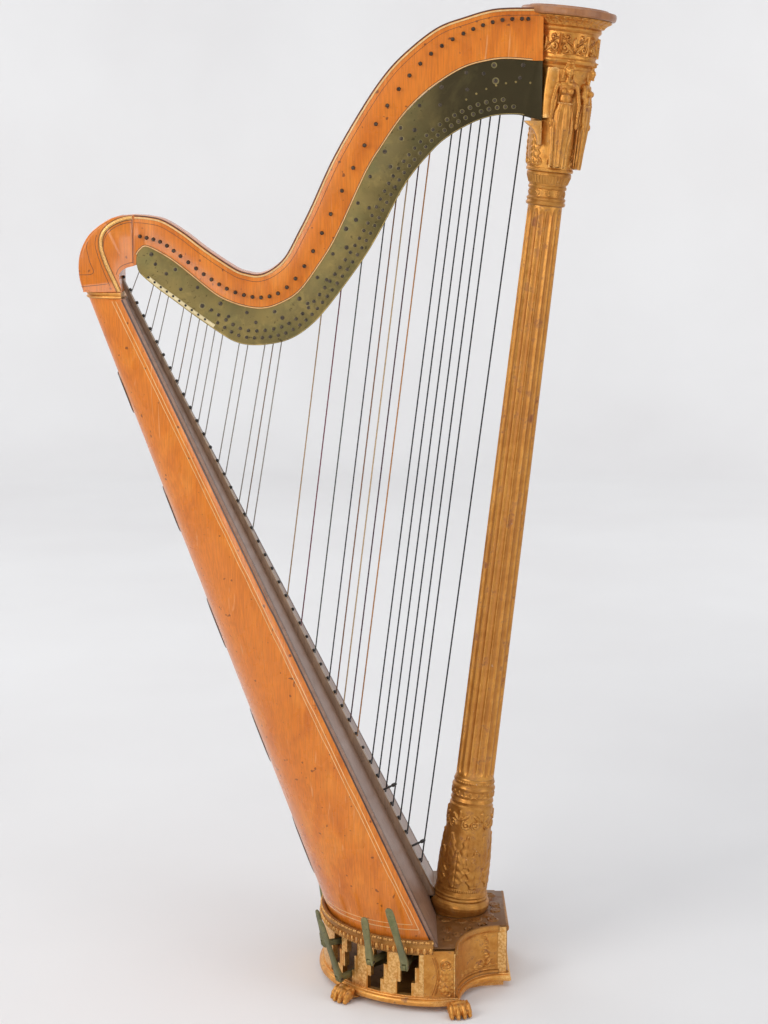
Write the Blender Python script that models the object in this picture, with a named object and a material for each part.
# Antique double-action pedal harp, modelled as separate pieces in one frame.
# +X runs from the soundbox towards the column, +Y is the player's left, +Z is up.
# Metres. The floor is z = 0 and the bounding box is centred on x = y = 0.
import math
import bpy
import bmesh
from mathutils import Vector, Matrix

# ---------------------------------------------------------------- driving dimensions
X_SHIFT = 0.0040            # moves the working origin to the middle of the bounding box

# column, leaning forward
COL_X, COL_Z = 0.2030, 0.119
COL_LEAN = math.radians(6.27)
COL_TOP_S = 1.5838
BORE_LOW, BORE_HIGH = 0.030, 0.0115
BORE_S = (0.0, 1.27)
FLUTES = 16
SHAFT = [(0.247, 0.0336), (0.75, 0.0316), (1.262, 0.0290)]
FLUTE_DEPTH = 0.0022

# soundbox: straight-sided, half elliptical in plan at every height
BODY_Z0, BODY_Z1 = 0.1142, 1.2185
BOARD_X0, BOARD_X1 = 0.1602, -0.3709       # front of the soundboard at the two heights
BACK_X0, BACK_X1 = -0.0320, -0.4381
HALF_W0, HALF_W1 = 0.1840, 0.0405
BOARD_T = 0.005
SHELL_T = 0.0065
RIB_W0, RIB_W1 = 0.014, 0.010
RIB_T0, RIB_T1 = 0.0132, 0.0070
RIB_Z0, RIB_Z1 = 0.1420, 1.2560

# neck: near face on the right, strings on the left
NECK_Y0, NECK_Y1 = -0.0505, -0.0040
PLATE_T = 0.0020
GAP = 0.0003
SHOULDER_Y0, SHOULDER_Y1 = -0.0490, 0.0405
NECK_TOP = [(-0.3535, 1.360), (-0.328, 1.3580), (-0.302, 1.3515), (-0.269, 1.3315), (-0.2295, 1.3015),
            (-0.184, 1.2715), (-0.164, 1.2640), (-0.144, 1.2615), (-0.122, 1.2705), (-0.0995, 1.2915),
            (-0.0775, 1.3315), (-0.057, 1.3715), (-0.020, 1.451), (0.0255, 1.5295), (0.0655, 1.5880),
            (0.102, 1.6265), (0.153, 1.6655), (0.2005, 1.6835), (0.250, 1.6965), (0.3075, 1.6985), (0.330, 1.6975)]
PLATE_TOP = [(-0.3500, 1.2800), (-0.3490, 1.2920), (-0.342, 1.3025), (-0.331, 1.3065), (-0.300, 1.2905),
             (-0.2735, 1.2715), (-0.2285, 1.2345), (-0.2035, 1.2185), (-0.170, 1.2065), (-0.1375, 1.2030),
             (-0.109, 1.2110), (-0.0765, 1.2310), (-0.0445, 1.2725), (-0.012, 1.3250), (0.037, 1.4295),
             (0.0655, 1.4760), (0.0985, 1.5230), (0.1315, 1.5570), (0.1665, 1.5830), (0.2025, 1.6025),
             (0.2375, 1.6120), (0.2705, 1.6155), (0.3160, 1.6125)]
PLATE_LOW = [(-0.3500, 1.2800), (-0.3440, 1.2625), (-0.318, 1.2395), (-0.2865, 1.2160), (-0.2545, 1.1920),
             (-0.206, 1.1585), (-0.184, 1.1465), (-0.159, 1.1415), (-0.1265, 1.1430), (-0.0925, 1.1515),
             (-0.060, 1.1720), (-0.0275, 1.2060), (0.0265, 1.2780), (0.0605, 1.3330), (0.104, 1.4130),
             (0.1485, 1.4670), (0.1755, 1.4900), (0.2035, 1.5065), (0.230, 1.5180), (0.258, 1.5245),
             (0.2945, 1.5250), (0.308, 1.5180), (0.3160, 1.5000)]
SHOULDER = [(-0.3541, 1.3600), (-0.3790, 1.3577), (-0.3980, 1.3515), (-0.4250, 1.3320), (-0.4393, 1.3115),
            (-0.4466, 1.2915), (-0.4488, 1.2715), (-0.4470, 1.2510), (-0.4415, 1.2312), (-0.3935, 1.2312),
            (-0.4010, 1.2480), (-0.3990, 1.2600), (-0.3880, 1.2700), (-0.3700, 1.2760), (-0.3541, 1.2790)]
COLLAR_Z0, COLLAR_Z1 = 1.2190, 1.2307

# strings and pins
N_STR = 44
PRESENT = [0, 2, 3, 4, 5, 6, 7, 9, 10, 11, 12, 13, 15, 17, 19, 24, 25, 26, 28, 29, 31, 32, 33, 34, 35, 36, 38, 39, 40, 42]
WOUND = 8
LAST_DISC = 41
PEG_Z0, PEG_STEP0, PEG_STEP1 = 0.2003, 0.0268, 0.0220
PIN_X = [(0, 0.3045), (1, 0.2942), (7, 0.198), (13, 0.0914), (19, -0.0224), (25, -0.112), (31, -0.1983), (37, -0.2755), (43, -0.343)]
PIN_LINE = [(-0.343, 1.3245), (-0.308, 1.3150), (-0.2755, 1.2915), (-0.238, 1.2620), (-0.1985, 1.2370), (-0.1685, 1.2260),
            (-0.1415, 1.2220), (-0.112, 1.2290), (-0.082, 1.2540), (-0.0525, 1.2995), (-0.0225, 1.3615), (0.014, 1.4350),
            (0.053, 1.5090), (0.0915, 1.5670), (0.130, 1.6110), (0.166, 1.6390), (0.216, 1.6645), (0.263, 1.6785), (0.309, 1.6800)]
PIN_R, BRIDGE_R, PEG_R, STRING_R = 0.0030, 0.0016, 0.0032, 0.0009
STRING_Y = 0.0045

# base
DCX, DRX, DRY, D_END = 0.158, 0.200, 0.192, 0.190
FRONT_X, FRONT_HW, THROAT_X = 0.2844, 0.083, 0.272
BASE_Z = (0.010, 0.0180, 0.1050, 0.1137)
WALL_T = 0.010
RIM_OUT = 0.0085
CORNICE_Z1 = 0.130
SLOT_STEPS = [(0.078, 0.1020, -0.0065), (0.050, 0.0781, 0.0), (0.0268, 0.0501, 0.0065)]
SLOT_W = 0.026

# pedals: letter, angle round the wall from the player's right, hub offset
PEDALS = [("A", 14.5, -0.0255), ("G", 31.0, -0.0170), ("F", 49.3, -0.0085), ("E", 61.5, 0.0),
          ("B", 116.0, 0.0085), ("C", 131.0, 0.0170), ("D", 149.0, 0.0255)]
AXLE_X, AXLE_Z, AXLE_R = 0.236, 0.062, 0.0040
ARM_W, ARM_H, ARM_OUT_Z, HUB_W = 0.0065, 0.0110, 0.0880, 0.0077
FOOT_L = {"A": 0.112, "G": 0.090, "F": 0.126, "E": 0.066, "B": 0.098, "C": 0.098, "D": 0.098}
FOOT_SIDE = {"A": 0.24}          # the A foot leans along the wall as well as outward
HOOKED = "F"                     # this pedal stands hooked down in its lowest notch
FOOT_LEAN = {"A": 9.0, "G": 13.0, "F": 20.0, "E": 13.0, "B": 14.0, "C": 16.0, "D": 12.0}
DISC_R, DISC_T = 0.0062, 0.0022
PAWS = [("paw_front_right", -12.0), ("paw_rear_right", 47.0), ("paw_rear_left", 133.0), ("paw_front_left", 192.0)]


# ---------------------------------------------------------------- helpers
def clear():
    for o in list(bpy.data.objects):
        bpy.data.objects.remove(o, do_unlink=True)


def put(name, verts, faces, cutter=False):
    me = bpy.data.meshes.new(name)
    me.from_pydata([tuple(v) for v in verts], [], faces)
    bm = bmesh.new()
    bm.from_mesh(me)
    bmesh.ops.remove_doubles(bm, verts=bm.verts, dist=1e-7)
    bmesh.ops.recalc_face_normals(bm, faces=bm.faces)
    bmesh.ops.triangulate(bm, faces=[f for f in bm.faces if len(f.verts) > 4])
    bm.to_mesh(me)
    bm.free()
    ob = bpy.data.objects.new(name, me)
    bpy.context.scene.collection.objects.link(ob)
    return ob


def bake(ob, other, op):
    md = ob.modifiers.new("b", "BOOLEAN")
    md.operation = op
    md.solver = "EXACT"
    md.object = other
    bpy.context.view_layer.update()
    dg = bpy.context.evaluated_depsgraph_get()
    me = bpy.data.meshes.new_from_object(ob.evaluated_get(dg))
    ob.modifiers.clear()
    old = ob.data
    ob.data = me
    bpy.data.meshes.remove(old)
    bpy.data.objects.remove(other, do_unlink=True)
    return ob


def cut(ob, other):
    return bake(ob, other, "DIFFERENCE")


def join(ob, other):
    return bake(ob, other, "UNION")


def prism_xz(name, outline, y0, y1):
    n = len(outline)
    v = [(x, y0, z) for x, z in outline] + [(x, y1, z) for x, z in outline]
    f = [list(range(n))[::-1], list(range(n, 2 * n))]
    f += [[i, (i + 1) % n, (i + 1) % n + n, i + n] for i in range(n)]
    return put(name, v, f)


def prism_xy(name, outline, z0, z1):
    n = len(outline)
    v = [(x, y, z0) for x, y in outline] + [(x, y, z1) for x, y in outline]
    f = [list(range(n))[::-1], list(range(n, 2 * n))]
    f += [[i, (i + 1) % n, (i + 1) % n + n, i + n] for i in range(n)]
    return put(name, v, f)


def loft(name, rings):
    """Closed rings with equal counts, capped at both ends."""
    n = len(rings[0])
    v = [p for r in rings for p in r]
    f = [list(range(n))[::-1], list(range((len(rings) - 1) * n, len(rings) * n))]
    for k in range(len(rings) - 1):
        for i in range(n):
            j = (i + 1) % n
            f.append([k * n + i, k * n + j, (k + 1) * n + j, (k + 1) * n + i])
    return put(name, v, f)


def multi(name, solids):
    """Several closed prisms in one mesh: each is (ring a, ring b, ...)."""
    v, f = [], []
    for rings in solids:
        b = len(v)
        n = len(rings[0])
        v += [p for r in rings for p in r]
        f.append([b + i for i in range(n)][::-1])
        f.append([b + (len(rings) - 1) * n + i for i in range(n)])
        for k in range(len(rings) - 1):
            for i in range(n):
                j = (i + 1) % n
                f.append([b + k * n + i, b + k * n + j, b + (k + 1) * n + j, b + (k + 1) * n + i])
    return put(name, v, f)


def comb(name, solids, level):
    """Solids with equal rings, joined into one body by bars between the rings level and level + 1."""
    n = len(solids[0][0])
    v, f, base = [], [], []
    for rings in solids:
        base.append(len(v))
        v += [Vector(p) for r in rings for p in r]
    mid = [sum((Vector(p) for p in r[level] + r[level + 1]), Vector()) / (2 * n) for r in solids]
    opened = [dict() for _ in solids]
    for i in range(len(solids)):
        for j in (i - 1, i + 1):
            if 0 <= j < len(solids):
                d = mid[j] - mid[i]
                best = sorted(range(n), key=lambda k: -d.dot((v[base[i] + level * n + k] + v[base[i] + level * n + (k + 1) % n]) / 2
                                                             + (v[base[i] + (level + 1) * n + k] + v[base[i] + (level + 1) * n + (k + 1) % n]) / 2 - 2 * mid[i]))
                best = [k for k in best if k not in opened[i].values()]
                opened[i][j] = best[0]
    for i, rings in enumerate(solids):
        b = base[i]
        f.append([b + k for k in range(n)][::-1])
        f.append([b + (len(rings) - 1) * n + k for k in range(n)])
        for r in range(len(rings) - 1):
            for k in range(n):
                if r == level and k in opened[i].values():
                    continue
                j = (k + 1) % n
                f.append([b + r * n + k, b + r * n + j, b + (r + 1) * n + j, b + (r + 1) * n + k])
    for i in range(len(solids) - 1):
        k, m = opened[i][i + 1], opened[i + 1][i]
        a0, a1 = base[i] + level * n + k, base[i] + level * n + (k + 1) % n
        b0, b1 = base[i + 1] + level * n + m, base[i + 1] + level * n + (m + 1) % n
        f += [[a0, b1, b0, a1], [a0 + n, a1 + n, b0 + n, b1 + n], [a0, a0 + n, b1 + n, b1], [a1, b0, b0 + n, a1 + n]]
    return put(name, v, f)


def ring(c, axis, r, n, ph=0.0, up=None):
    a = Vector(axis).normalized()
    u = Vector(up) if up else (Vector((0, 1, 0)) if abs(a.y) < 0.9 else Vector((1, 0, 0)))
    u = (u - a * u.dot(a)).normalized()
    w = a.cross(u)
    c = Vector(c)
    return [c + u * (r * math.cos(ph + 2 * math.pi * i / n)) + w * (r * math.sin(ph + 2 * math.pi * i / n)) for i in range(n)]


def rod(p, q, r, n, r2=None, ph=0.0):
    p, q = Vector(p), Vector(q)
    return [ring(p, q - p, r, n, ph), ring(q, q - p, r2 if r2 else r, n, ph)]


def spline(pts, per=2):
    """Catmull-Rom through control points in a plane."""
    out = []
    n = len(pts)
    for i in range(n - 1):
        p0, p1, p2, p3 = pts[max(i - 1, 0)], pts[i], pts[i + 1], pts[min(i + 2, n - 1)]
        for k in range(per):
            t = k / per
            out.append(tuple(0.5 * (2 * p1[c] + (p2[c] - p0[c]) * t + (2 * p0[c] - 5 * p1[c] + 4 * p2[c] - p3[c]) * t * t
                                    + (3 * p1[c] - p0[c] - 3 * p2[c] + p3[c]) * t ** 3) for c in (0, 1)))
    out.append(tuple(pts[-1]))
    return out


def lerp_table(tab, x):
    if x <= tab[0][0]:
        return tab[0][1]
    for (a, u), (b, v) in zip(tab, tab[1:]):
        if x <= b:
            return u + (v - u) * (x - a) / (b - a)
    return tab[-1][1]


def offset(pts, d):
    """Offset an open polyline to its left by d."""
    out = []
    for i in range(len(pts)):
        a = pts[max(i - 1, 0)]
        b = pts[min(i + 1, len(pts) - 1)]
        t = Vector((b[0] - a[0], b[1] - a[1])).normalized()
        out.append((pts[i][0] - t.y * d, pts[i][1] + t.x * d))
    return out


def hit(p, d, poly):
    """First crossing of the ray p + t d with a polyline, as t."""
    best = None
    for a, b in zip(poly, poly[1:]):
        ex, ez = b[0] - a[0], b[1] - a[1]
        den = d[0] * ez - d[1] * ex
        if abs(den) < 1e-12:
            continue
        t = ((a[0] - p[0]) * ez - (a[1] - p[1]) * ex) / den
        u = ((a[0] - p[0]) * d[1] - (a[1] - p[1]) * d[0]) / den
        if -1e-6 <= u <= 1 + 1e-6 and t > 0 and (best is None or t < best):
            best = t
    return best


AX = Vector((math.sin(COL_LEAN), 0, math.cos(COL_LEAN)))
AU = Vector((math.cos(COL_LEAN), 0, -math.sin(COL_LEAN)))


def on_axis(s, r=0.0, th=0.0):
    return Vector((COL_X, 0, COL_Z)) + AX * s + AU * (r * math.cos(th)) + Vector((0, r * math.sin(th), 0))


def bore_r(s):
    return BORE_LOW + (BORE_HIGH - BORE_LOW) * (s - BORE_S[0]) / (BORE_S[1] - BORE_S[0])


def lathe(name, prof, n=26, bore=True, bn=14, fr=None):
    """Turned piece about the leaning axis: prof is (s, r); bored for the pull rods."""
    rings = []
    for s, r in prof:
        rings.append([on_axis(s, r * (fr(s, 2 * math.pi * i / n) if fr else 1.0), 2 * math.pi * i / n) for i in range(n)])
    ob = loft(name, rings)
    if bore:
        s0, s1 = prof[0][0] - 0.01, prof[-1][0] + 0.01
        c = loft("c", [[on_axis(s, bore_r(s), 2 * math.pi * i / bn) for i in range(bn)] for s in (s0, s1)])
        cut(ob, c)
    return ob


def box(name, x0, x1, y0, y1, z0, z1):
    return prism_xy(name, [(x0, y0), (x1, y0), (x1, y1), (x0, y1)], z0, z1)


# ---------------------------------------------------------------- column and capital
def column():
    foot = [(-0.020, 0.0515), (0.006, 0.0515), (0.012, 0.0530), (0.018, 0.0515), (0.023, 0.0485),
            (0.036, 0.0490), (0.050, 0.0452), (0.095, 0.0443), (0.150, 0.0405), (0.197, 0.0390),
            (0.204, 0.0372), (0.210, 0.0380), (0.226, 0.0380), (0.2465, 0.0350)]
    ob = lathe("column_foot", foot)
    cut(ob, box("c", 0.1, 0.35, -0.1, 0.1, 0.0, BASE_Z[3] + 0.0004))
    # scribed flat where the moulding meets the soundboard and its centre strip
    for d, w, zs in ((0.0010, 0.1, 0.09), (RIB_T0 + 0.0012, RIB_W0 + 0.001, RIB_Z0 - 0.002)):
        cut(ob, loft("c", [[(0.05, -w, z), (board_x(z, d), -w, z), (board_x(z, d), w, z), (0.05, w, z)] for z in (zs, 0.30)]))
    n = FLUTES * 4
    rings = []
    for s, r in SHAFT:
        rr = []
        for i in range(n):
            k = i % 4
            th = 2 * math.pi * (i + (0.28 if k == 1 else -0.28 if k == 3 else 0)) / n
            rr.append(on_axis(s, r if k in (0,) else r - (FLUTE_DEPTH * (0.55 if k in (1, 3) else 1.0)) if k else r, th))
        rings.append(rr)
    ob = loft("column_shaft", rings)
    cut(ob, loft("c", [[on_axis(s, bore_r(s), 2 * math.pi * i / 16) for i in range(16)] for s in (0.23, 1.28)]))
    neck = [(1.2625, 0.0315), (1.272, 0.0320), (1.276, 0.0298), (1.300, 0.0325), (1.306, 0.0350), (1.314, 0.0365), (1.3195, 0.0350)]
    lathe("column_necking", neck)
    bell = [(1.320, 0.0400), (1.345, 0.0432), (1.362, 0.0448), (1.395, 0.0480), (1.420, 0.0535), (1.440, 0.0555), (1.470, 0.0545), (1.4795, 0.0560)]

    def figures(s, th):
        w = math.sin(math.pi * min(max((s - 1.325) / 0.15, 0), 1))
        return 1.0 + 0.075 * w * math.cos(6 * th)
    lathe("capital_bell", bell, 36, fr=figures)
    notch("capital_bell")
    frieze = [(1.480, 0.0600), (1.485, 0.0625), (1.497, 0.0625), (1.503, 0.0585), (1.508, 0.0560), (1.540, 0.0560), (1.5445, 0.0580)]
    lathe("capital_frieze", frieze, bore=False)
    notch("capital_frieze")
    aba = [(1.545, 0.0600), (1.552, 0.0650), (1.560, 0.0700), (1.567, 0.0755), (1.572, 0.0770), (1.578, 0.0755), (1.580, 0.0660), (COL_TOP_S, 0.0650)]
    lathe("capital_abacus", aba, bore=False)
    notch("capital_abacus")


def notch(name):
    cut(bpy.data.objects[name], box("c", 0.20, 0.3305, NECK_Y0 - GAP, 0.0180, 1.40, 1.75))


# ---------------------------------------------------------------- soundbox
def lin(a0, a1, z):
    return a0 + (a1 - a0) * (z - BODY_Z0) / (BODY_Z1 - BODY_Z0)


BN = Vector((BODY_Z1 - BODY_Z0, 0, BOARD_X0 - BOARD_X1)).normalized()     # soundboard normal, towards the strings


def board_x(z, d=0.0):
    """x of a plane parallel to the soundboard front, d in front of it."""
    return lin(BOARD_X0, BOARD_X1, z) + d / BN.x


def half_w(z):
    return lin(HALF_W0, HALF_W1, z)


def u_ring(z, inset, front, n=22):
    xs = board_x(z, front)
    full = board_x(z) - lin(BACK_X0, BACK_X1, z)
    out = []
    for i in range(n + 1):
        th = math.pi * i / n
        y = -(half_w(z) - inset) * math.cos(th)
        out.append((xs - (full - inset + front / BN.x) * math.sin(th), y, z))
    return out


def soundbox():
    back = -BOARD_T - GAP
    ob = loft("body_shell", [u_ring(BODY_Z0, 0, back), u_ring(BODY_Z1, 0, back)])
    z0, z1 = BODY_Z0 - 0.02, BODY_Z1 - 0.022
    cut(ob, loft("c", [[(p[0] + 0.02 * (i in (0, 22)) , p[1], p[2]) for i, p in enumerate(u_ring(z, SHELL_T, back))] for z in (z0, z1)]))
    for k in range(5):
        zc = 0.235 + 0.205 * k
        a, b = 0.030 - 0.0040 * k, 0.052 - 0.0050 * k
        v = []
        for x in (lin(BACK_X0, BACK_X1, zc) - 0.06, lin(BACK_X0, BACK_X1, zc) + 0.045):
            v.append([(x, a * math.cos(2 * math.pi * i / 14) * 0.62, zc + b * math.sin(2 * math.pi * i / 14)) for i in range(14)])
        cut(ob, loft("c", v))
    # flat soundboard over the front of the shell
    v = []
    for z in (BODY_Z0, BODY_Z1):
        h = half_w(z)
        v.append([(board_x(z), -h, z), (board_x(z), h, z), (board_x(z, -BOARD_T), h, z), (board_x(z, -BOARD_T), -h, z)])
    loft("soundboard", v)
    v = []
    for z in (RIB_Z0, RIB_Z1):
        t = (z - RIB_Z0) / (RIB_Z1 - RIB_Z0)
        w = RIB_W0 + (RIB_W1 - RIB_W0) * t
        d = RIB_T0 + (RIB_T1 - RIB_T0) * t
        v.append([(board_x(z, GAP), -w, z), (board_x(z, GAP), w, z), (board_x(z, d - 0.002), w, z), (board_x(z, d), w - 0.003, z),
                  (board_x(z, d), -w + 0.003, z), (board_x(z, d - 0.002), -w, z)])
    loft("string_rib", v)
    v = []
    for z in (0.140, 1.190):
        w = 0.013 if z < 0.5 else 0.009
        a, b = board_x(z, -BOARD_T - GAP), board_x(z, -BOARD_T - 0.007)
        v.append([(a, -w, z), (a, w, z), (b, w, z), (b, -w, z)])
    loft("string_bar_inner", v)
    # block across the foot of the box
    v = []
    for z in (BODY_Z0 + 0.0003, BODY_Z0 + 0.022):
        r = u_ring(z, SHELL_T + 0.0020, back - 0.0005)
        v.append([(p[0] - 0.008 * (1 if i in (0, 22) else 0), p[1], p[2]) for i, p in enumerate(r)])
    ob = loft("body_foot_block", v)
    cut(ob, box("c", 0.118, 0.2, -0.016, 0.016, 0.10, 0.15))


# ---------------------------------------------------------------- neck
def neck():
    top = spline(NECK_TOP, 2)
    ptop = spline(PLATE_TOP, 2)
    plow = spline(PLATE_LOW, 2)
    low = [(x, z) for x, z in offset(plow, 0.0040) if -0.345 < x < 0.311]
    # full thickness above the plates, recessed on both sides behind them
    step = [(0.3166, 1.5050)] + offset(ptop, GAP)[::-1] + [(-0.3503, 1.2760)]
    step[1] = (0.3166, step[1][1])
    rest_a = [(-0.3535, 1.2760)] + top + [(0.330, 1.5050)]
    rest_b = low + [(0.3125, 1.5050)]
    ys = (NECK_Y0, NECK_Y0 + PLATE_T + GAP, NECK_Y1 - PLATE_T - GAP, NECK_Y1)
    ns, na, nb = len(step), len(rest_a), len(rest_b)
    v = []
    for y in ys:
        v += [(x, y, z) for x, z in step]
    oa = len(v)
    v += [(x, ys[0], z) for x, z in rest_a] + [(x, ys[3], z) for x, z in rest_a]
    ob_ = len(v)
    v += [(x, ys[1], z) for x, z in rest_b] + [(x, ys[2], z) for x, z in rest_b]
    f = [[k for k in range(ns)] + [oa + k for k in range(na)], [3 * ns + k for k in range(ns)] + [oa + na + k for k in range(na)],
         [ns + k for k in range(ns)] + [ob_ + k for k in range(nb)], [2 * ns + k for k in range(ns)] + [ob_ + nb + k for k in range(nb)]]
    for k in range(ns - 1):
        f += [[k, k + 1, ns + k + 1, ns + k], [2 * ns + k, 2 * ns + k + 1, 3 * ns + k + 1, 3 * ns + k]]
    f += [[oa + k, oa + k + 1, oa + na + k + 1, oa + na + k] for k in range(na - 1)]
    f += [[ob_ + k, ob_ + k + 1, ob_ + nb + k + 1, ob_ + nb + k] for k in range(nb - 1)]
    e = ns - 1
    f += [[e, oa, oa + na, 3 * ns + e, 2 * ns + e, ns + e], [0, oa + na - 1, oa + 2 * na - 1, 3 * ns, 2 * ns, ns]]
    f += [[ns + e, ob_, ob_ + nb, 2 * ns + e], [ns, ob_ + nb - 1, ob_ + 2 * nb - 1, 2 * ns]]
    put("neck_core", v, f)
    plate = ptop + plow[::-1][:-1]
    r = prism_xz("action_plate_right", plate, NECK_Y0, NECK_Y0 + PLATE_T)
    l = prism_xz("action_plate_left", plate, NECK_Y1 - PLATE_T, NECK_Y1)
    # shoulder block, rounded edges by stacking three outlines
    o = spline(SHOULDER[:9], 2) + SHOULDER[9:]
    cx = sum(p[0] for p in o) / len(o)
    cz = sum(p[1] for p in o) / len(o)
    rings = []
    for y, k in ((SHOULDER_Y0, 0.006), (SHOULDER_Y0 + 0.006, 0.0), (SHOULDER_Y1 - 0.008, 0.0), (SHOULDER_Y1, 0.008)):
        rr = []
        for x, z in o:
            if x > -0.3545 or z < 1.2315:
                rr.append((x, y, z))
                continue
            d = Vector((cx - x, cz - z))
            d = d.normalized() * min(k, d.length * 0.4) if x < -0.402 or z > 1.30 else Vector((0, 0))
            rr.append((x + d.x, y, z + d.y))
        rings.append(rr)
    sh = loft("neck_shoulder", rings)
    cut(sh, box("c", -0.380, -0.30, NECK_Y1, 0.10, 1.20, 1.45))
    v = []
    for z, g in ((COLLAR_Z0, 0.0022), (COLLAR_Z0 + 0.003, 0.0045), (COLLAR_Z1 - 0.004, 0.0045), (COLLAR_Z1, 0.0022)):
        rr = []
        xs = board_x(BODY_Z1) - 0.0015 - 0.006
        full = xs - lin(BACK_X0, BACK_X1, BODY_Z1)
        for i in range(23):
            th = math.pi * i / 22
            rr.append((xs - (full + g) * math.sin(th), -(HALF_W1 + g) * math.cos(th), z))
        v.append(rr)
    loft("shoulder_collar", v)


def peg_z(i):
    return PEG_Z0 + PEG_STEP0 * i - (PEG_STEP0 - PEG_STEP1) / 42.0 * (i * (i - 1) / 2.0)


def pin_xz(i, line):
    x = lerp_table(PIN_X, i)
    for a, b in zip(line, line[1:]):
        if a[0] <= x <= b[0]:
            t = (x - a[0]) / (b[0] - a[0])
            return x, a[1] + (b[1] - a[1]) * t
    return x, line[-1][1]


def string_path(i, line, bridge):
    """Lower end at the rib, bridge pin, tuning pin, all as (x, y, z)."""
    z = peg_z(i)
    t = (z - RIB_Z0) / (RIB_Z1 - RIB_Z0)
    lo = Vector((board_x(z, RIB_T0 + (RIB_T1 - RIB_T0) * t + 0.0016), 0.0025, z))
    px, pz = pin_xz(i, line)
    aim = (px + (0.018 if i == 0 else PIN_R + 0.0005) - lo.x, pz - lo.z)
    k = hit((lo.x, lo.z), aim, bridge)
    br = Vector((lo.x + aim[0] * k, STRING_Y, lo.z + aim[1] * k))
    up = Vector((px + PIN_R + 0.0012, STRING_Y + 0.0015, pz))
    return lo, br, up


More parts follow.
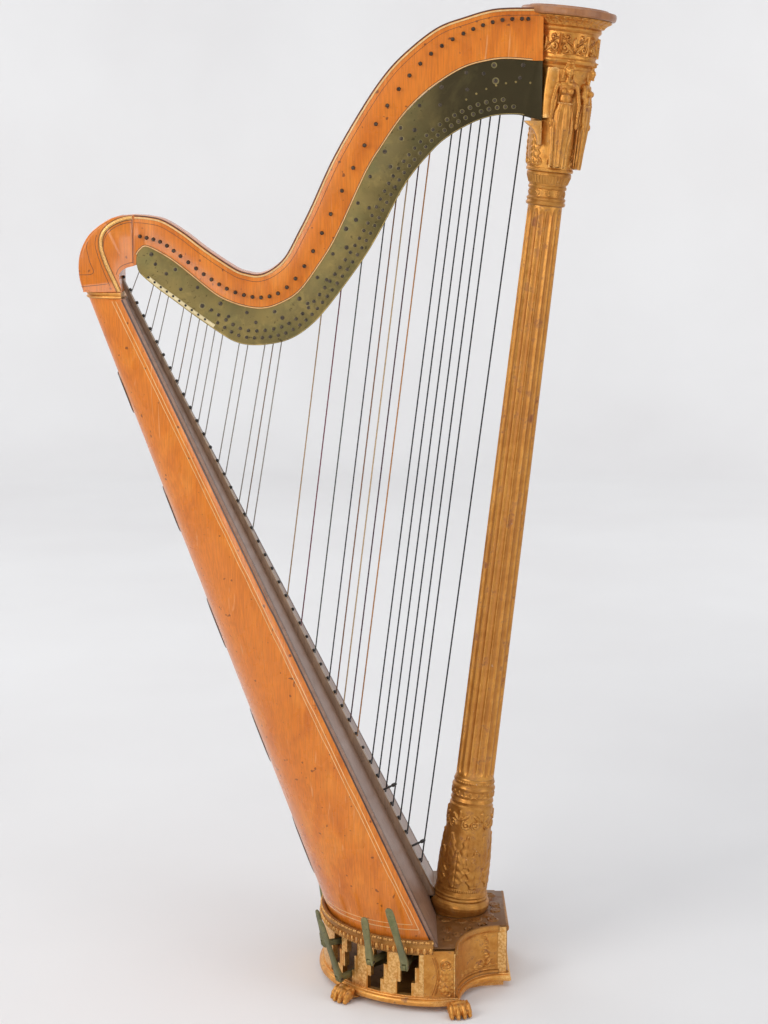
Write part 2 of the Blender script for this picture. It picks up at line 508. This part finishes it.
def pins_and_strings():
    line = spline(PIN_LINE, 3)
    plow = spline(PLATE_LOW, 2)
    bridge = [(-0.40, 1.2960)] + [p for p in offset(spline(PLATE_TOP, 2), -0.009) if -0.330 < p[0] < 0.30] + [(0.36, 1.6020)]
    rows = [string_path(i, line, bridge) for i in range(N_STR)]
    # tuning pins run through the wood; a thin bar against the left face joins them
    solids = []
    for i in range(N_STR):
        x, z = pin_xz(i, line)
        solids.append([ring((x, y, z), (0, 1, 0), r, 4, math.pi / 4) for y, r in ((NECK_Y0 - 0.0075, 0.0030), (NECK_Y1 + GAP, 0.0034), (NECK_Y1 + 0.0015, 0.0034), (NECK_Y1 + 0.0190, 0.0034))])
    comb("tuning_pins", solids, 1)
    cut(bpy.data.objects["neck_core"], multi("c", [[ring((pin_xz(i, line)[0], y, pin_xz(i, line)[1]), (0, 1, 0), 0.0034 + 0.0005, 4, math.pi / 4) for y in (NECK_Y0 - 0.01, NECK_Y1 + 0.01)] for i in range(N_STR)]))
    # bridge pins on the left plate, with their bar
    solids = []
    for lo, br, up in rows:
        solids.append([ring((br.x - BRIDGE_R - STRING_R - 0.0006, y, br.z), (0, 1, 0), BRIDGE_R, 3, 0.5) for y in (NECK_Y1 + GAP, NECK_Y1 + 0.0012, STRING_Y + 0.0035)])
    comb("bridge_pins", solids, 0)
    # pegs along the centre strip, with their bar
    solids = []
    for i in range(N_STR):
        z = peg_z(i)
        t = (z - RIB_Z0) / (RIB_Z1 - RIB_Z0)
        d = RIB_T0 + (RIB_T1 - RIB_T0) * t
        c = Vector((board_x(z), -0.0045, z))
        tall = 0.026 if i in (1, 5) else 0.0040
        solids.append([ring(c + BN * k, BN, PEG_R * 0.95, 3, 0.0) for k in (d + GAP, d + 0.0013, d + tall + 0.0006)])
    comb("string_pegs", solids, 0)
    # strings, each group joined by a fine bar along the centre strip
    for name, idx in (("strings_wound", [i for i in PRESENT if i < WOUND]), ("strings_gut", [i for i in PRESENT if i >= WOUND])):
        solids = []
        for i in idx:
            lo, br, up = rows[i]
            r = STRING_R * (1.0 - 0.45 * i / N_STR)
            d1, d2 = (br - lo).normalized(), (up - br).normalized()
            solids.append([ring(lo, d1, r, 3), ring(lo + d1 * 0.0014, d1, r, 3), ring(br, d1 + d2, r, 3), ring(up, d2, r, 3)])
        comb(name, solids, 0)
    # fork discs: two to a string, joined by thin bars against the left plate
    upper, lower = [], []
    edge = [(-0.40, 1.2950)] + [p for p in plow if -0.3400 < p[0] < 0.306] + [(0.36, 1.5130)]
    for i in range(N_STR):
        lo, br, up = rows[i]
        d = (br - lo)
        k = hit((lo.x, lo.z), (d.x, d.z), edge)
        e = lo + d * k
        u = Vector((d.x, 0, d.z)).normalized()
        gap = 0.044 + (0.0125 - 0.044) * min(i / 24.0, 1.0)
        for row, dist in ((lower, 0.0105), (upper, 0.0105 + gap)):
            c = e + u * dist
            row.append((c.x, c.z))
    order = [(lower, i) for i in range(1, LAST_DISC + 1)] + [(upper, i) for i in range(LAST_DISC, 6, -1)]
    solids = []
    for row, i in order:
        x, z = row[i]
        r = DISC_R * (1.0 - 0.34 * min(i / 30.0, 1))
        solids.append([ring((x, y, z), (0, 1, 0), r, 4, math.pi / 4) for y in (NECK_Y1 + GAP, NECK_Y1 + 0.0010, NECK_Y1 + 0.0010 + DISC_T)])
    comb("fork_discs", solids, 0)
    # seven working discs, one for each pedal
    core = bpy.data.objects["neck_core"]
    pr = bpy.data.objects["action_plate_right"]
    pl = bpy.data.objects["action_plate_left"]
    for k, i in enumerate(range(7)):
        x, z = upper[i]
        letter = "EFGABCD"[k]
        for target in (core, pr, pl):
            cut(target, loft("c", [ring((x, y, z), (0, 1, 0), 0.0023, 10) for y in (-0.09, 0.03)]))
        ob = loft("fork_disc_" + letter, [ring((x, y, z), (0, 1, 0), r, 10) for y, r in
                  ((NECK_Y0 - 0.0016, 0.0014), (NECK_Y0 - 0.0006, 0.0019), (NECK_Y1 + 0.0008, 0.0019), (NECK_Y1 + 0.00081, DISC_R), (NECK_Y1 + 0.0008 + DISC_T, DISC_R))])
        turn = math.radians(45.0) if letter == HOOKED else 0.0
        for s in (-1, 1):
            dx, dz = s * DISC_R * 0.62, -s * 0.0008
            px, pz = x + dx * math.cos(turn) - dz * math.sin(turn), z + dx * math.sin(turn) + dz * math.cos(turn)
            join(ob, loft("c", [ring((px, y, pz), (0, 1, 0), 0.0010, 4) for y in (NECK_Y1 + 0.0015, STRING_Y + 0.0030)]))
    return upper, lower


# ---------------------------------------------------------------- base
def d_pt(phi, k=1.0, grow=0.0):
    """Point on the D wall; phi in degrees from the player's right, round the back."""
    a = math.radians(phi)
    return (DCX - (DRX * k + grow) * math.sin(a), -(DRY * k + grow) * math.cos(a))


def front_curve(inset=0.0, n=6):
    """Right side of the front block from the corner to the front, inset inward."""
    out = []
    for i in range(n + 1):
        a = math.radians(90.0 * i / n)
        out.append((THROAT_X - (THROAT_X - D_END + inset) * math.cos(a), -DRY + (DRY - FRONT_HW + inset) * math.sin(a)))
    return out


def plan(grow=0.0, n=20):
    """Whole base outline, grown outward."""
    pts = [d_pt(180.0 * i / n, 1.0, grow) for i in range(n + 1)]
    right = [(x, y) for x, y in front_curve(-grow)]
    right = [(max(x, D_END + grow * 0.2), y) for x, y in right]
    fr = [(FRONT_X + grow, -FRONT_HW - grow), (FRONT_X + grow, FRONT_HW + grow)]
    left = [(x, -y) for x, y in right]
    # order: right corner -> rear -> left corner -> left front -> front -> right front
    return pts + left + fr[::-1] + right[::-1]


def clean(pts):
    out = []
    for p in pts:
        if not out or (Vector(p) - Vector(out[-1])).length > 1e-4:
            out.append(p)
    if (Vector(out[0]) - Vector(out[-1])).length < 1e-4:
        out.pop()
    return out


def base():
    z0, z1, z2, z3 = BASE_Z
    # bottom board: rounded rim, front plinth down to the floor
    levels = [(z0, 0.004), (z0 + 0.003, RIM_OUT), (0.021, RIM_OUT), (0.0245, 0.0035)]
    base_plan = [clean(plan(g)) for z, g in levels]
    n = len(base_plan[0])
    ob = loft("base_bottom", [[(p[0], p[1], levels[k][0]) for p in base_plan[k]] for k in range(4)])
    inner = clean(plan(-WALL_T - 0.0040))
    cut(ob, prism_xy("c", inner, 0.0180, 0.05))
    plinth = [(0.200, -0.108), (0.215, -0.098), (0.240, -0.086), (0.280, -0.080), (0.280, 0.080), (0.240, 0.086), (0.215, 0.098), (0.200, 0.108)]
    join(ob, prism_xy("c", plinth, 0.0, 0.012))
    zb = 0.0248
    # wall with stepped pedal slots
    nn = 28
    outer = [(D_END - GAP, -DRY)] + [d_pt(180.0 * i / nn) for i in range(nn + 1)] + [(D_END - GAP, DRY)]
    inn = [(D_END - GAP, -DRY + WALL_T)] + [d_pt(180.0 * i / nn, 1.0, -WALL_T) for i in range(nn + 1)] + [(D_END - GAP, DRY - WALL_T)]
    wall = prism_xy("base_wall", clean(outer + inn[::-1]), zb, z2)
    for letter, phi, yk in PEDALS:
        a = math.radians(phi)
        o = Vector((-math.sin(a), -math.cos(a)))
        t = Vector((-math.cos(a), math.sin(a)))
        c = Vector(d_pt(phi))
        solids = None
        pts = []
        # stepped outline in (along the wall, height)
        prof = []
        for lo_, hi_, sh in SLOT_STEPS:
            prof.append((sh - SLOT_W / 2, sh + SLOT_W / 2, lo_, hi_))
        left = []
        right = []
        for s0, s1, lo_, hi_ in prof:
            left += [(s0, hi_), (s0, lo_)]
            right += [(s1, hi_), (s1, lo_)]
        outl = left + right[::-1]
        outl = [outl[i] for i in range(len(outl)) if abs(outl[i][1] - outl[i - 1][1]) > 5e-4 or abs(outl[i][0] - outl[i - 1][0]) > 5e-4]
        side = 1.0 if phi < 90 else -1.0
        v = []
        for d in (-0.03, 0.02):
            v.append([(c.x + o.x * d + t.x * s * side, c.y + o.y * d + t.y * s * side, zz) for s, zz in outl])
        cut(wall, loft("c", v))
    # front block, hollow, open to the rear
    oc = front_curve(0.0, 8)
    ic = [p for p in front_curve(0.012, 12) if p[0] > D_END + 0.004]
    y_in = -DRY + (DRY - FRONT_HW + 0.012) * math.sin(math.acos((THROAT_X - D_END) / (THROAT_X - D_END + 0.012)))
    right = oc + [(FRONT_X, -FRONT_HW)]
    inr = [(D_END, y_in)] + ic + [(FRONT_X - 0.016, -FRONT_HW + 0.012)]
    o = right + [(x, -y) for x, y in right][::-1] + [(x, -y) for x, y in inr] + inr[::-1]
    prism_xy("base_front", clean(o), zb, z2)
    # top board
    top = clean(plan(0.0))
    ob = prism_xy("base_top", [(x, y) for x, y in top], z2 + GAP, z3)
    for p in ob.data.vertices:
        if p.co.x < D_END + 0.0005:
            s = (1.0 - 0.0062 / 0.19)
            p.co.x = DCX + (p.co.x - DCX) * s if p.co.x < DCX else p.co.x
            p.co.y *= s
    cut(ob, loft("c", [[(0.2020 + 0.020 * math.cos(2 * math.pi * i / 18), 0.0330 * math.sin(2 * math.pi * i / 18), z) for i in range(18)] for z in (0.09, 0.13)]))
    # cornice round the D: plain section here, carved later
    prof = [(-0.0047, z2 + GAP), (0.0035, z2 + GAP), (0.0070, z2 + 0.006), (0.0075, z2 + 0.0120), (0.0030, z2 + 0.0155), (0.0035, CORNICE_Z1 - 0.003), (0.0, CORNICE_Z1), (-0.0036, CORNICE_Z1), (-0.0047, z2 + 0.009)]
    nn = 26
    rings = []
    st = [("e", -1)] + [("d", i) for i in range(nn + 1)] + [("e", 1)]
    for kind, i in st:
        rr = []
        for g, z in prof:
            if kind == "d":
                x, y = d_pt(180.0 * i / nn, 1.0, g)
            else:
                x, y = 0.1505, i * (DRY + g)
            rr.append((x, y, z))
        rings.append(rr)
    # the moulding stops where the soundboard begins
    rings = [r for k, r in enumerate(rings) if k not in (0, len(rings) - 1)]
    loft("base_cornice", rings)
    # lion-paw feet under the rim
    for name, phi in PAWS:
        a = math.radians(phi)
        o = Vector((-math.sin(a), -math.cos(a), 0))
        t = Vector((o.y, -o.x, 0))
        c = Vector((d_pt(phi)[0], d_pt(phi)[1], 0)) if -1 < phi < 181 else Vector((D_END + 0.003, -DRY * (1 if phi < 90 else -1), 0))
        if name.startswith("paw_front"):
            sy = -1 if "right" in name else 1
            o = Vector((0.28, sy * 0.96, 0)).normalized()
            t = Vector((o.y, -o.x, 0))
            c = Vector((0.190, sy * DRY, 0))
        rings = []
        for d, w, zt, zlow in ((-0.030, 0.012, 0.0090, 0.0030), (-0.004, 0.019, 0.0094, 0.0), (0.0095, 0.021, 0.0094, 0.0), (0.0105, 0.021, 0.0262, 0.0),
                               (0.020, 0.023, 0.0284, 0.0), (0.032, 0.022, 0.0225, 0.0), (0.041, 0.016, 0.0100, 0.0020)):
            p = c + o * d
            h = zt - zlow
            rr = []
            for s, k in ((-0.75, 0.0), (-1.0, 0.35), (-0.80, 0.80), (-0.38, 1.0), (0.38, 1.0), (0.80, 0.80), (1.0, 0.35), (0.75, 0.0)):
                q = p + t * (w * s)
                rr.append((q.x, q.y, zlow + h * k))
            rings.append(rr)
        loft(name, rings)


# ---------------------------------------------------------------- pedals
def press_range(phi):
    """How far a pedal turns from the top notch of its slot to the lowest."""
    dx, z0 = AXLE_X - d_pt(phi)[0], 0.0858 - AXLE_Z
    return math.atan2(z0, dx) - math.asin((z0 - 0.0460) / math.hypot(dx, z0))


def pedal_geo(letter, phi, yk):
    hub = Vector((AXLE_X, yk, AXLE_Z))
    p1 = Vector((0.168 + 0.0095 * abs(yk) / 0.0085, yk, AXLE_Z + 0.007))
    a = d_pt(phi, 0.86)
    b = d_pt(phi, 1.0, 0.0225)
    p2 = Vector((a[0], a[1], ARM_OUT_Z - 0.003))
    p3 = Vector((b[0], b[1], ARM_OUT_Z))
    if letter == HOOKED:
        c, s = math.cos(press_range(phi)), math.sin(press_range(phi))
        for p in (p1, p2, p3):
            dx, dz = p.x - AXLE_X, p.z - AXLE_Z
            p.x, p.z = AXLE_X + dx * c - dz * s, AXLE_Z + dx * s + dz * c
    return hub, p1, p2, p3


def foot_mid(p3, up, t, letter, s):
    """Middle of a foot's section, s along it from its hinge."""
    return p3 + up * s - t * (FOOT_SIDE.get(letter, 0.0) * max(0.0, s - 0.010))


def strip(name, pts, w, h):
    """Bar swept along a path, mitred in plan, with vertical sides."""
    rings = []
    for i, p in enumerate(pts):
        d0 = (pts[i] - pts[i - 1]) if i else (pts[1] - pts[0])
        d1 = (pts[i + 1] - pts[i]) if i < len(pts) - 1 else (pts[-1] - pts[-2])
        d0 = Vector((d0.x, d0.y, 0)).normalized()
        d1 = Vector((d1.x, d1.y, 0)).normalized()
        n0, n1 = Vector((-d0.y, d0.x, 0)), Vector((-d1.y, d1.x, 0))
        m = (n0 + n1).normalized()
        k = w / 2 / max(m.dot(n0), 0.4)
        rings.append([p + m * k + Vector((0, 0, -h / 2)), p - m * k + Vector((0, 0, -h / 2)), p - m * k + Vector((0, 0, h / 2)), p + m * k + Vector((0, 0, h / 2))])
    return loft(name, rings)


def pedals():
    loft("pedal_axle", [ring((AXLE_X, y, AXLE_Z), (0, 1, 0), AXLE_R, 12, 0.13) for y in (-0.0650, 0.0650)])
    for letter, phi, yk in PEDALS:
        hub, p1, p2, p3 = pedal_geo(letter, phi, yk)
        a = math.radians(phi)
        o = Vector((-math.sin(a), -math.cos(a), 0))
        t = Vector((math.cos(a), -math.sin(a), 0))
        ob = strip("pedal_" + letter, [hub + Vector((0.004, 0, 0)), p1, p2, p3], ARM_W, ARM_H)
        join(ob, loft("c", [ring((AXLE_X, y, AXLE_Z), (0, 1, 0), 0.0085, 12, 0.13) for y in (yk - HUB_W / 2, yk + HUB_W / 2)]))
        cut(ob, loft("c", [ring((AXLE_X, y, AXLE_Z), (0, 1, 0), AXLE_R + 0.0004, 12, 0.13) for y in (yk - 0.01, yk + 0.01)]))
        join(ob, loft("c", [ring(p3 + t * s, t, 0.0066, 10, 0.11) for s in (-ARM_W / 2 + 0.0002, ARM_W / 2 - 0.0002)]))
        # folding foot: pad with a forked root straddling the arm
        le = math.radians(FOOT_LEAN[letter])
        up = Vector((0, 0, 1)) * math.cos(le) + o * math.sin(le)
        nrm = up.cross(t).normalized()
        rings = []
        fl = FOOT_L[letter]
        for s, w, th in ((-0.0060, 0.0068, 0.0048), (0.0, 0.0072, 0.0058), (0.0200, 0.0070, 0.0050), (0.41 * fl, 0.0056, 0.0034), (0.71 * fl, 0.0064, 0.0030), (fl - 0.006, 0.0072, 0.0028), (fl, 0.0050, 0.0022)):
            c = foot_mid(p3, up, t, letter, s)
            rings.append([c + t * w + nrm * th * 0.55, c + t * w * 0.7 + nrm * th, c - t * w * 0.7 + nrm * th, c - t * w + nrm * th * 0.55,
                          c - t * w - nrm * th * 0.55, c - t * w * 0.7 - nrm * th, c + t * w * 0.7 - nrm * th, c + t * w - nrm * th * 0.55])
        ft = loft("pedal_foot_" + letter, rings)
        # slot for the tongue, deep enough for folding out
        cr = []
        for s in (-0.02, 0.0085):
            c = p3 + up * s
            cr.append([c + t * (ARM_W / 2 + 0.0004) + nrm * 0.02, c - t * (ARM_W / 2 + 0.0004) + nrm * 0.02,
                       c - t * (ARM_W / 2 + 0.0004) - nrm * 0.02, c + t * (ARM_W / 2 + 0.0004) - nrm * 0.02])
        cut(ft, loft("c", cr))
        # the two cheeks must stay one piece with the pad
        # pull rod up the hollow column
        lo, hi = rod_ends(yk)
        if letter == HOOKED:
            d = (lo - hi).normalized()
            d = d * (press_range(phi) * (AXLE_X - lo.x) / abs(d.z))
            lo, hi = lo + d, hi + d
        loft("pull_rod_" + letter, rod(lo, hi, 0.0010, 6))


def rod_ends(yk):
    lo = Vector((0.2015, yk, 0.0748))
    top = on_axis(1.335)
    hi = Vector((top.x, yk * 0.31, top.z))
    return lo, hi


# ---------------------------------------------------------------- looks, origins and parents
# slot: colour, roughness, metallic
LOOKS = {
    "veneer": ((0.72, 0.30, 0.075), 0.22, 0.0),
    "gilt": ((0.62, 0.41, 0.13), 0.42, 0.75),
    "gilt_base": ((0.70, 0.47, 0.14), 0.42, 0.75),
    "action_brass": ((0.34, 0.30, 0.12), 0.48, 0.80),
    "bridge_brass": ((0.40, 0.33, 0.16), 0.45, 0.85),
    "soundboard_wood": ((0.42, 0.27, 0.19), 0.40, 0.0),
    "rib_wood": ((0.30, 0.18, 0.09), 0.38, 0.0),
    "inner_wood": ((0.55, 0.40, 0.24), 0.70, 0.0),
    "pin_steel": ((0.16, 0.15, 0.14), 0.40, 0.90),
    "peg_black": ((0.03, 0.027, 0.025), 0.30, 0.0),
    "gut": ((0.52, 0.38, 0.24), 0.45, 0.0),
    "wire": ((0.16, 0.16, 0.17), 0.40, 0.80),
    "pedal_brass": ((0.34, 0.33, 0.19), 0.42, 0.85),
    "iron": ((0.14, 0.13, 0.12), 0.55, 0.85),
}


def slot_of(n):
    if n in ("neck_core", "neck_shoulder", "body_shell"):
        return "veneer"
    if n.startswith("action_plate"):
        return "action_brass"
    if n.startswith("fork_disc") or n == "bridge_pins":
        return "bridge_brass"
    single = {"tuning_pins": "pin_steel", "string_pegs": "peg_black", "strings_gut": "gut", "strings_wound": "wire",
              "soundboard": "soundboard_wood", "string_rib": "rib_wood", "string_bar_inner": "inner_wood",
              "body_foot_block": "inner_wood", "pedal_axle": "iron"}
    if n in single:
        return single[n]
    if n.startswith("pull_rod"):
        return "iron"
    if n.startswith("pedal_"):
        return "pedal_brass"
    if n.startswith(("base_", "paw_")):
        return "gilt_base"
    return "gilt"


def dress():
    for ob in bpy.data.objects:
        if ob.type != "MESH":
            continue
        colour, rough, metal = LOOKS[slot_of(ob.name)]
        mat = bpy.data.materials.new(ob.name)
        mat.use_nodes = True
        bsdf = mat.node_tree.nodes["Principled BSDF"]
        bsdf.inputs["Base Color"].default_value = (*colour, 1.0)
        bsdf.inputs["Roughness"].default_value = rough
        bsdf.inputs["Metallic"].default_value = metal
        mat.diffuse_color = (*colour, 1.0)
        ob.data.materials.clear()
        ob.data.materials.append(mat)
        ob.data.shade_smooth()
        ob.data.set_sharp_from_angle(angle=math.radians(32))


def pivot(ob, at, parent=None):
    """Moves an object's origin to a point and hangs it from its parent."""
    at = Vector(at)
    for v in ob.data.vertices:
        v.co -= at
    base = Vector((0, 0, 0))
    if parent is not None:
        ob.parent = parent
        base = parent.matrix_world.translation
    ob.location = at - base
    bpy.context.view_layer.update()


def arrange(discs):
    harp = bpy.data.objects.new("harp", None)
    bpy.context.scene.collection.objects.link(harp)
    obs = {o.name: o for o in bpy.data.objects if o.type == "MESH"}
    done = set()
    for letter, phi, yk in PEDALS:
        arm = obs["pedal_" + letter]
        pivot(arm, (AXLE_X - X_SHIFT, yk, AXLE_Z), harp)
        toe = pedal_geo(letter, phi, yk)[3]
        foot = obs["pedal_foot_" + letter]
        pivot(foot, (toe.x - X_SHIFT, toe.y, toe.z), arm)
        rod_ob = obs["pull_rod_" + letter]
        lo = rod_ends(yk)[0]
        pivot(rod_ob, (lo.x - X_SHIFT, lo.y, lo.z), harp)
        x, z = discs["EFGABCD".index(letter)]
        disc = obs["fork_disc_" + letter]
        pivot(disc, (x - X_SHIFT, NECK_Y1, z), harp)
        done |= {arm.name, foot.name, rod_ob.name, disc.name}
    column_at = (COL_X - X_SHIFT, 0.0, COL_Z)
    for n, ob in obs.items():
        if n in done:
            continue
        at = (0, 0, 0)
        if n.startswith(("column_", "capital_")):
            at = column_at
        elif n == "pedal_axle":
            at = (AXLE_X - X_SHIFT, 0, AXLE_Z)
        pivot(ob, at, harp)


# ---------------------------------------------------------------- build
def main():
    clear()
    column()
    soundbox()
    neck()
    upper, lower = pins_and_strings()
    base()
    pedals()
    for ob in bpy.data.objects:
        for v in ob.data.vertices:
            v.co.x -= X_SHIFT
        bm = bmesh.new()
        bm.from_mesh(ob.data)
        bmesh.ops.dissolve_degenerate(bm, dist=1e-6, edges=bm.edges)
        bm.to_mesh(ob.data)
        bm.free()
    dress()
    arrange(upper)


main()
